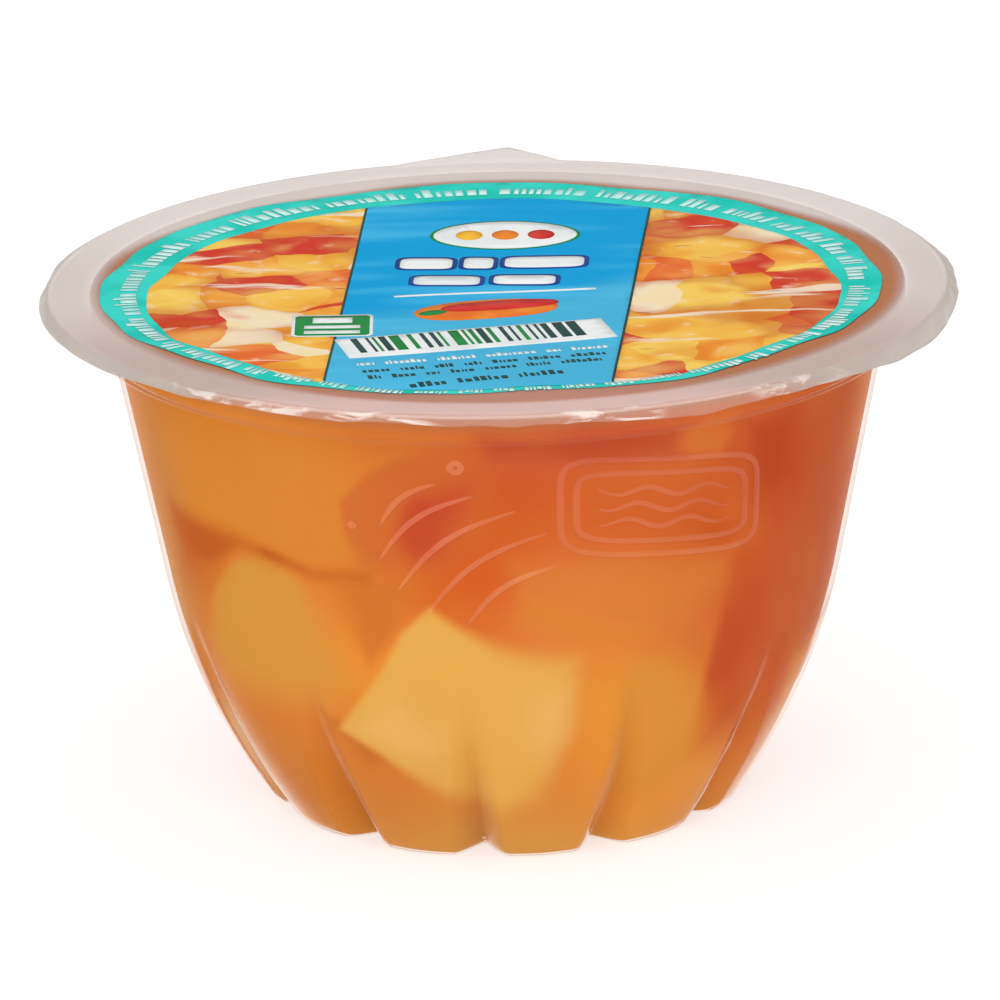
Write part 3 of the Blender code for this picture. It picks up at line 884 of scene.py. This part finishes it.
def band_edge(turn, middle, reach):
    """A point of a printed edge, in mm: an oval drawn uneven by the slack film."""
    uneven = 0.35 * math.sin(7.0 * turn + 3.5) + 0.25 * math.sin(12.0 * turn + 2.0)
    uneven += 0.15 * math.sin(23.0 * turn + 1.0)
    uneven *= 0.6 - 0.4 * math.sin(turn)
    return (middle[0] + (reach[0] + uneven) * math.cos(turn),
            middle[1] + (reach[1] + uneven) * math.sin(turn))


def stripe_left(y):
    return -13.0 + 0.058 * y


def stripe_right(y):
    return 12.0 + 0.083 * y


def ink(name, light, dark, scale=160.0):
    """Printed ink with slight mottling under a glossy face."""
    mat, tree = material(name)
    place = place_of(tree)
    cloud = mottle(tree, place, scale, 3.0)
    colour = mixed(tree, spread(tree, cloud, 0.35, 0.65), light, dark)
    bump = (0.05, 0.2 * MM, cloud)
    solid_face(tree, painted_body(tree, colour, roughness=0.25, shine=INK_SHINE, bump=bump))
    return mat


def fruit_fields():
    """Ink of loose fruit colours: uneven long blots of yellow, orange, red and cream."""
    mat, tree = material("ink fruit fields")
    place = place_of(tree)
    drift = node(tree, "TexNoise", {"Vector": place, "Scale": 130.0, "Detail": 2.0}).outputs["Color"]
    bent = node(tree, "VectorMath", {0: drift, 1: (0.005, 0.005, 0.0)}, operation="MULTIPLY").outputs[0]
    bent = node(tree, "VectorMath", {0: place, 1: bent}, operation="ADD").outputs[0]
    long_way = node(tree, "Mapping", {"Vector": bent, "Rotation": (0.0, 0.0, 0.2),
                                      "Location": (0.4, 0.7, 0.0), "Scale": (150.0, 185.0, 1.0)}).outputs[0]
    blots = node(tree, "TexVoronoi", {"Vector": long_way, "Scale": 1.0}, feature="F1")
    pick = node(tree, "SeparateColor", {0: blots.outputs["Color"]}).outputs[0]
    tones = node(tree, "ValToRGB", {0: pick})
    ramp = tones.color_ramp
    ramp.interpolation = "CONSTANT"
    for spot, tone in FRUIT_INKS:
        stop = ramp.elements[0] if spot == 0.0 else ramp.elements.new(spot)
        stop.color = srgb(tone)
    ramp.elements.remove(ramp.elements[-1])
    fibres = mottle(tree, long_way, 3.2, 4.0)
    swell = mottle(tree, long_way, 1.1, 1.0)
    colour = mixed(tree, spread(tree, swell, 0.4, 0.7, 0.0, 0.45), tones.outputs[0], "FAD872")
    colour = mixed(tree, spread(tree, swell, 0.5, 0.3, 0.0, 0.4), colour, "DE6A20")
    colour = mixed(tree, spread(tree, fibres, 0.58, 0.75, 0.0, 0.5), colour, "F6E6C6")
    edge = spread(tree, blots.outputs["Distance"], 0.5, 0.85, 0.0, 0.5)
    colour = mixed(tree, edge, colour, "C04A20")
    stretched = node(tree, "Mapping", {"Vector": bent, "Rotation": (0.0, 0.0, 0.12),
                                       "Scale": (45.0, 330.0, 1.0)}).outputs[0]
    cream = mottle(tree, stretched, 1.0, 3.0)
    colour = mixed(tree, spread(tree, cream, 0.6, 0.66, 0.0, 0.8), colour, "F4E4CC")
    seeds = node(tree, "TexVoronoi", {"Vector": stretched, "Scale": 2.6}, feature="F1").outputs["Distance"]
    colour = mixed(tree, spread(tree, seeds, 0.11, 0.05, 0.0, 0.8), colour, "4A3020")
    solid_face(tree, painted_body(tree, colour, roughness=0.3, shine=INK_SHINE))
    return mat


def blue_ink():
    """Sky blue that turns paler in soft swells to the lower right."""
    mat, tree = material("ink blue")
    place = place_of(tree)
    across, depth, _ = node(tree, "SeparateXYZ", {0: place}).outputs
    drift = mottle(tree, place, 45.0, 1.0)
    slope = maths(tree, "SUBTRACT", times(tree, across, 0.5), depth)
    slope = maths(tree, "ADD", slope, times(tree, drift, 16.0 * MM))
    swell = spread(tree, slope, 11.0 * MM, 19.0 * MM)
    colour = mixed(tree, swell, "089ED8", "48B2D8")
    sweeps = node(tree, "Mapping", {"Vector": place, "Rotation": (0.0, 0.0, 0.3),
                                    "Scale": (30.0, 170.0, 1.0)}).outputs[0]
    pale = mottle(tree, sweeps, 1.0)
    colour = mixed(tree, spread(tree, pale, 0.48, 0.68, 0.0, 0.6), colour, "52C2EA")
    solid_face(tree, painted_body(tree, colour, roughness=0.3, shine=INK_SHINE))
    return mat


INKS = {
    "turquoise": ink("ink turquoise", "1CC4B4", "3AD6C8"),
    "fruit fields": fruit_fields(),
    "blue": blue_ink(),
    "white": ink("ink white", "EEF0EE", "E0E6E6"),
    "pale": ink("ink pale", "D2F2EE", "B4E8E2"),
    "navy": ink("ink navy", "23448C", "2A4F9A"),
    "green": ink("ink green", "24813F", "2C8C48"),
    "dark": ink("ink dark", "2D4A46", "355550"),
    "orange": ink("ink orange", "EE8C34", "E4702E", 260.0),
    "yellow": ink("ink yellow", "F7BE3C", "F2AA34", 260.0),
    "red": ink("ink red", "D8453C", "C8302E", 260.0),
}
ink_names = list(INKS)


class Print:
    """Gathers flat patches of ink that follow the film, each a little above the last."""

    def __init__(self):
        self.mesh = bmesh.new()

    def patch(self, outline, colour, level, fine=1.6):
        made = bmesh.new()
        clean = []
        for spot in outline:
            if not clean or math.dist(spot, clean[-1]) > 0.02:
                clean.append(spot)
        if math.dist(clean[0], clean[-1]) < 0.02:
            clean.pop()
        made.faces.new([made.verts.new((x, y, 0.0)) for x, y in clean])
        bmesh.ops.triangulate(made, faces=made.faces)
        for _ in range(6):
            long_edges = [e for e in made.edges if e.calc_length() > fine]
            if not long_edges:
                break
            bmesh.ops.subdivide_edges(made, edges=long_edges, cuts=1)
            bmesh.ops.triangulate(made, faces=made.faces)
        start = {}
        for v in made.verts:
            x, y = v.co.x * MM, v.co.y * MM
            start[v] = self.mesh.verts.new((x, y, LID_HEIGHT + film_rise(x, y) + level * INK_STEP))
        for f in made.faces:
            corners = [start[v] for v in f.verts]
            if f.normal.z < 0.0:
                corners.reverse()
            face = self.mesh.faces.new(corners)
            face.material_index = ink_names.index(colour)
            face.smooth = True
        made.free()

    def finish(self, name):
        me = bpy.data.meshes.new(name)
        self.mesh.to_mesh(me)
        self.mesh.free()
        ob = bpy.data.objects.new(name, me)
        bpy.context.scene.collection.objects.link(ob)
        for key in ink_names:
            me.materials.append(INKS[key])
        solid = ob.modifiers.new("ink", "SOLIDIFY")
        solid.thickness = INK_THICK
        solid.offset = -1.0
        return ob


def moved(points, x, y, tilt):
    """Points tilted in degrees and then moved to a place."""
    tilted = [turned(px, py, tilt) for px, py in points]
    return [(x + px, y + py) for px, py in tilted]


def box_at(x, y, wide, tall, tilt=0.0, rounding=0.0):
    """Corners of a box in the print, in mm, tilted in degrees, with cut corners."""
    w, h, k = 0.5 * wide, 0.5 * tall, rounding
    corners = [(-w, -h), (w, -h), (w, h), (-w, h)]
    if rounding:
        corners = [(-w + k, -h), (w - k, -h), (w, -h + k), (w, h - k),
                   (w - k, h), (-w + k, h), (-w, h - k), (-w, -h + k)]
    return moved(corners, x, y, tilt)


def oval_at(x, y, wide, tall, tilt=0.0, power=1.0, steps=40):
    """Points round an oval, or with a low power round a box with rounded corners, in mm."""
    points = []
    for i in range(steps):
        t = 2.0 * math.pi * i / steps
        points.append((0.5 * wide * math.copysign(abs(math.cos(t)) ** power, math.cos(t)),
                       0.5 * tall * math.copysign(abs(math.sin(t)) ** power, math.sin(t))))
    return moved(points, x, y, tilt)


def between(points, inside):
    """The part of an outline that a test keeps, by cutting its sides where it changes."""
    kept = []
    for a, b in zip(points, points[1:] + points[:1]):
        in_a, in_b = inside(*a), inside(*b)
        if in_a:
            kept.append(a)
        if in_a != in_b:
            low, high = (a, b) if in_a else (b, a)
            for _ in range(18):
                middle = (0.5 * (low[0] + high[0]), 0.5 * (low[1] + high[1]))
                if inside(*middle):
                    low = middle
                else:
                    high = middle
            kept.append(low)
    return kept


def small_marks(sheet, rng, start, spot, stop, tall, colour, level):
    """A group of small upright dashes from a start along a row. Returns where it ends."""
    v = start
    for _ in range(rng.randint(3, 9)):
        wide = rng.choice((0.18, 0.3, 0.36, 0.42)) * tall
        low = rng.choice((1.0, 0.7, 0.7))
        if v + wide > stop:
            break
        x, y, tilt = spot(v + 0.5 * wide)
        drop = 0.5 * tall * (1.0 - low)
        turn = math.radians(tilt + 90.0)
        sheet.patch(box_at(x - drop * math.cos(turn), y - drop * math.sin(turn), wide, tall * low, tilt),
                    colour, level)
        v += wide + rng.choice((0.12, 0.17)) * tall
    return v


def print_stripe(sheet, field):
    """The two fruit fields, and between them the blue stripe on its dark outline."""
    sheet.patch(between(field, lambda x, y: x < stripe_left(y)), "fruit fields", 2)
    sheet.patch(between(field, lambda x, y: x > stripe_right(y)), "fruit fields", 2)
    for reach, colour, level in ((0.1, "dark", 3), (-STRIPE_OUTLINE, "blue", 4)):
        part = between(field, lambda x, y: stripe_left(y) - reach < x < stripe_right(y) + reach)
        sheet.patch(part, colour, level)


def print_motifs(sheet):
    """A white oval with three dots, two rows of rounded blocks, a line and a fruit shape."""
    x, y = DOT_OVAL
    sheet.patch(oval_at(x, y, 13.4, 8.6), "green", 5)
    sheet.patch(oval_at(x, y, 12.8, 8.0), "white", 6)
    for off, colour in ((-3.2, "yellow"), (0.0, "orange"), (3.2, "red")):
        sheet.patch(oval_at(x + off, y, 2.4, 2.8), colour, 7)
    for y, tall, blocks in BLOCK_ROWS:
        for x, wide in blocks:
            sheet.patch(oval_at(x, y, wide + 0.9, tall + 0.9, -3.0, 0.4), "navy", 5)
            sheet.patch(oval_at(x, y, wide, tall, -3.0, 0.4), "white", 6)
    sheet.patch(box_at(-0.2, -3.0, 17.6, 0.5, 5.0), "white", 5)
    x, y = FRUIT_SHAPE
    sheet.patch(oval_at(x, y, 12.6, 5.6, 12.0, 0.85), "orange", 5)
    sheet.patch(oval_at(x + 1.2, y + 1.2, 10.4, 2.8, 12.0, 0.85), "red", 6)
    sheet.patch(oval_at(x - 4.6, y - 0.8, 2.6, 1.4, 20.0, steps=20), "green", 6)


def print_bars(sheet, rng):
    """A tilted white box with upright bars of uneven width."""
    x, y = BARS
    sheet.patch(box_at(x, y, 23.4, 6.0, BARS_TILT), "white", 5)
    along = -10.4
    while along < 9.6:
        wide = rng.choice((0.25, 0.4, 0.6, 0.9))
        px, py = turned(along + 0.5 * wide, 0.6, BARS_TILT)
        sheet.patch(box_at(x + px, y + py, wide, 4.4, BARS_TILT), rng.choice(("green", "dark")), 6)
        along += wide + rng.choice((0.3, 0.45, 0.7))


def print_plaque(sheet):
    """A small green box with three white dashes."""
    x, y = PLAQUE
    sheet.patch(box_at(x, y, 7.0, 6.6, 0.0, 0.4), "white", 5)
    sheet.patch(box_at(x, y, 6.4, 6.0, 0.0, 0.3), "green", 6)
    for y, wide, tall in ((-10.6, 3.4, 1.6), (-12.6, 4.8, 0.9), (-14.2, 4.8, 0.9)):
        sheet.patch(box_at(x, y, wide, tall), "white", 7)


def print_fine_rows(sheet, rng):
    for y, reach, tall, colour in FINE_ROWS:
        x = -reach - 1.0
        while x < reach - 1.5:
            x = small_marks(sheet, rng, x, lambda v: (v, y + 0.2 * v, 11.0), reach - 1.0, tall,
                            colour, 5) + 0.8


def print_band_marks(sheet, rng):
    """Short upright dashes round the band, in groups."""
    middle = [0.5 * (a + b) for a, b in zip(BAND_MIDDLE, FIELD_MIDDLE)]
    reach = [0.5 * (a + b) for a, b in zip(BAND_REACH, FIELD_REACH)]
    length = 2.0 * math.pi * reach[0]

    def on_band(v):
        t = v / reach[0]
        return (middle[0] + reach[0] * math.cos(t), middle[1] + reach[1] * math.sin(t),
                math.degrees(t) - 90.0)

    along = 0.0
    while along < length - 2.0:
        t = along / reach[0]
        tall = 2.0 + 0.3 * math.sin(t) - 0.8 * max(0.0, -math.sin(t)) ** 3
        along = small_marks(sheet, rng, along, on_band, length, tall, "pale", 5) + 0.8


def make_print():
    rng = random.Random(5)
    sheet = Print()
    turns = [2.0 * math.pi * i / 180 for i in range(180)]
    sheet.patch([band_edge(t, BAND_MIDDLE, BAND_REACH) for t in turns], "turquoise", 1)
    print_stripe(sheet, [band_edge(t, FIELD_MIDDLE, FIELD_REACH) for t in turns])
    print_motifs(sheet)
    print_bars(sheet, rng)
    print_plaque(sheet)
    print_fine_rows(sheet, rng)
    print_band_marks(sheet, rng)
    return sheet.finish("lid_print")


lid_print = make_print()
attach(lid_print, "root")

# The wall's relief: a low moulded pattern of bent lines and a plain framed panel, part of
# the cup's wall on the real pack. Here it stands on the juice's face, just inside the wall.

RELIEF_ACROSS = 0.36 * MM
RELIEF_PROUD = 0.05 * MM
RELIEF_ROOT = 0.2 * MM
RELIEF_SUNK = 0.006 * MM
# Arcs in mm: where each starts along and up, its bend, its length and its slope in degrees
ARCS = ((-10.6, 33.6, 0.9, 6.5, 40.0), (-10.8, 30.2, 1.3, 10.5, 38.0), (-9.2, 27.4, 1.5, 13.0, 37.0),
        (-6.6, 25.4, 1.5, 13.0, 36.0), (-3.2, 24.4, 1.2, 9.5, 35.0))
RING_MARKS = ((-3.9, 39.4, 0.9), (-13.2, 33.4, 0.24))
PANEL = (14.6, 34.4)
PANEL_FRAMES = ((19.2, 9.0), (16.4, 6.4))
PANEL_SLOPE = -0.12


def on_wall(x, z, proud):
    """A point on the outer wall, from mm along it and up it."""
    height = z * MM
    angle = x / (wall_radius(height) / MM)
    r = wall_radius(height) + proud
    return Vector((r * math.sin(angle), -r * math.cos(angle), height))


def evened(line, step=0.4):
    """The same line with a point about every step, so that it follows the round wall."""
    points = [line[0]]
    for a, b in zip(line, line[1:]):
        cuts = max(1, round(math.dist(a, b) / step))
        points += [(a[0] + (b[0] - a[0]) * k / cuts, a[1] + (b[1] - a[1]) * k / cuts)
                   for k in range(1, cuts + 1)]
    return points


def relief_lines():
    """Five arcs side by side, two small rings, and a framed panel with three waves."""
    lines = []
    for x, z, bend, reach, tilt in ARCS:
        bow = [(reach * k / 20.0, bend * math.sin(math.pi * k / 20.0)) for k in range(21)]
        lines.append(moved(bow, x, z, tilt))
    for x, z, size in RING_MARKS:
        mark = oval_at(x, z, size, size, steps=16)
        lines.append(mark + mark[:1])
    for wide, tall in PANEL_FRAMES:
        frame_line = [(PANEL[0] + px, PANEL[1] + pz + PANEL_SLOPE * px)
                      for px, pz in oval_at(0.0, 0.0, wide, tall, power=0.35, steps=60)]
        lines.append(frame_line + frame_line[:1])
    for k in range(3):
        wave = []
        for x in [8.2 + 0.64 * i for i in range(21)]:
            sway = 0.4 * math.sin(1.1 * x + k)
            wave.append((x, PANEL[1] + 1.5 - 1.5 * k + PANEL_SLOPE * (x - PANEL[0]) + sway))
        lines.append(wave)
    return lines


def ridge_plastic():
    """Painted highlight: where the wall stands proud it catches the light, painted as the colour behind it
    made paler.
    """
    mat, tree = material("ridge plastic")
    field = node(tree, "Attribute", attribute_name="field").outputs["Color"]
    grain = mottle(tree, place_of(tree), 160.0)
    across = node(tree, "SeparateXYZ", {0: place_of(tree)}).outputs[0]
    share = spread(tree, grain, 0.35, 0.65, 0.04, 0.11)
    share = times(tree, share, spread(tree, across, 1.0 * MM, 5.0 * MM, 1.0, 0.4))
    colour = mixed(tree, share, field, "F4C89C")
    solid_face(tree, painted_body(tree, colour, roughness=0.3, shine=0.2))
    return mat


def relief_mesh():
    verts, faces = [], []
    profile = [(-1.0 + 0.2 * k, 0.5 + 0.5 * math.cos(math.pi * (-1.0 + 0.2 * k))) for k in range(11)]
    sides = len(profile) + 2
    for line in relief_lines():
        points = [on_wall(x, z, (INTO_WALL - 1.0) * WALL) for x, z in evened(line)]
        closed = (points[0] - points[-1]).length < 0.01 * MM
        if closed:
            points.pop()
        count = len(points)
        first = len(verts)
        for i, p in enumerate(points):
            after = points[(i + 1) % count] if closed or i < count - 1 else p
            before = points[i - 1] if closed or i > 0 else p
            along = (after - before).normalized()
            out = Vector((p.x, p.y, 0.0)).normalized()
            across = along.cross(out).normalized()
            out = across.cross(along).normalized()
            slim = 1.0 if closed else math.sqrt(math.sin(math.pi * (i + 0.6) / (count + 0.2)))
            for side, rise in profile:
                verts.append(p + slim * RELIEF_ACROSS * side * across
                             + (slim * RELIEF_PROUD * rise - RELIEF_SUNK) * out)
            for side in (1.0, -1.0):
                verts.append(p + slim * RELIEF_ACROSS * side * across - RELIEF_ROOT * out)
        for i in range(count if closed else count - 1):
            j = (i + 1) % count
            for k in range(sides):
                n = (k + 1) % sides
                faces.append((first + i * sides + k, first + j * sides + k,
                              first + j * sides + n, first + i * sides + n))
        if not closed:
            faces.append(tuple(first + k for k in range(sides)))
            faces.append(tuple(first + (count - 1) * sides + k for k in reversed(range(sides))))
    return add_piece("wall_relief", verts, faces)


relief = relief_mesh()
relief.data.materials.append(ridge_plastic())
paint_mesh(relief)
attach(relief, "root")

# The studio: a plain white floor, even light from all round, and one large soft lamp that
# hangs above and before the cup. None of it is part of the object.

FLOOR_SIZE = 3.0
FLOOR_GLOW = 0.62
WORLD_LIGHT = 0.95
BACKDROP_LIGHT = 0.35
LAMP_PLACE = Vector((-0.12, -0.85, 0.6))
LAMP_AIM = Vector((0.0, 0.0, 0.03))
LAMP_SIZE = 0.9
LAMP_POWER = 2.2


def make_floor():
    h = 0.5 * FLOOR_SIZE
    corners = [(-h, -h, 0.0), (h, -h, 0.0), (h, h, 0.0), (-h, h, 0.0)]
    ob = add_piece("floor", corners, [(0, 1, 2, 3)], smooth=False)
    mat, tree = material("white floor")
    speckle = mottle(tree, place_of(tree), 30.0)
    colour = mixed(tree, speckle, (0.5, 0.5, 0.5, 1.0), (0.52, 0.52, 0.52, 1.0))
    body = node(tree, "BsdfPrincipled", {
        "Base Color": colour, "Roughness": 0.9, "Specular IOR Level": 0.0,
        "Emission Color": (1.0, 1.0, 1.0, 1.0), "Emission Strength": FLOOR_GLOW})
    solid_face(tree, body.outputs[0])
    ob.data.materials.append(mat)
    return ob


floor = make_floor()


def add_lamp():
    data = bpy.data.lights.new("softbox", "AREA")
    data.shape = "DISK"
    data.size = LAMP_SIZE
    data.energy = LAMP_POWER
    ob = bpy.data.objects.new("softbox", data)
    bpy.context.scene.collection.objects.link(ob)
    ob.location = LAMP_PLACE
    ob.rotation_euler = (LAMP_AIM - LAMP_PLACE).to_track_quat("-Z", "Y").to_euler()


def studio_world():
    """White all round, with a darker backdrop low behind, so that glossy faces keep colour."""
    world = bpy.data.worlds.new("studio")
    bpy.context.scene.world = world
    world.use_nodes = True
    tree = world.node_tree
    way = node(tree, "SeparateXYZ", {0: node(tree, "TexCoord").outputs["Generated"]})
    behind = spread(tree, way.outputs[1], 0.1, 0.8)
    low = spread(tree, way.outputs[2], 0.65, 0.3)
    dark = times(tree, behind, low)
    strength = spread(tree, dark, 0.0, 1.0, WORLD_LIGHT, BACKDROP_LIGHT)
    tree.links.new(strength, tree.nodes["Background"].inputs[1])
    tree.nodes["Background"].inputs[0].default_value = (1.0, 1.0, 1.0, 1.0)


add_lamp()
studio_world()
bpy.context.scene.view_settings.view_transform = "Standard"

# The camera: a long lens that looks at the cup from the front and a little above, rolled
# slightly as in the photo. Its place and lens were fitted to the cup's outline there.

PICTURE_PIXELS = 1000.0
SENSOR_WIDTH = 36.0
CAMERA_DISTANCE = 0.690
CAMERA_RISE = math.radians(18.02)
CAMERA_ROLL = math.radians(1.17)
CAMERA_AIM = Vector((-0.14 * MM, 0.0, 25.76 * MM))
FOCAL_PIXELS = 7845.0

camera_data = bpy.data.cameras.new("camera")
camera_data.sensor_width = SENSOR_WIDTH
camera_data.lens = SENSOR_WIDTH * FOCAL_PIXELS / PICTURE_PIXELS
camera_data.clip_start = 0.05
camera = bpy.data.objects.new("camera", camera_data)
bpy.context.scene.collection.objects.link(camera)
back = Vector((0.0, -math.cos(CAMERA_RISE), math.sin(CAMERA_RISE)))
camera.location = CAMERA_AIM + CAMERA_DISTANCE * back
look = (-back).to_track_quat("-Z", "Y").to_matrix().to_4x4()
camera.rotation_euler = (look @ Matrix.Rotation(-CAMERA_ROLL, 4, "Z")).to_euler()
bpy.context.scene.camera = camera
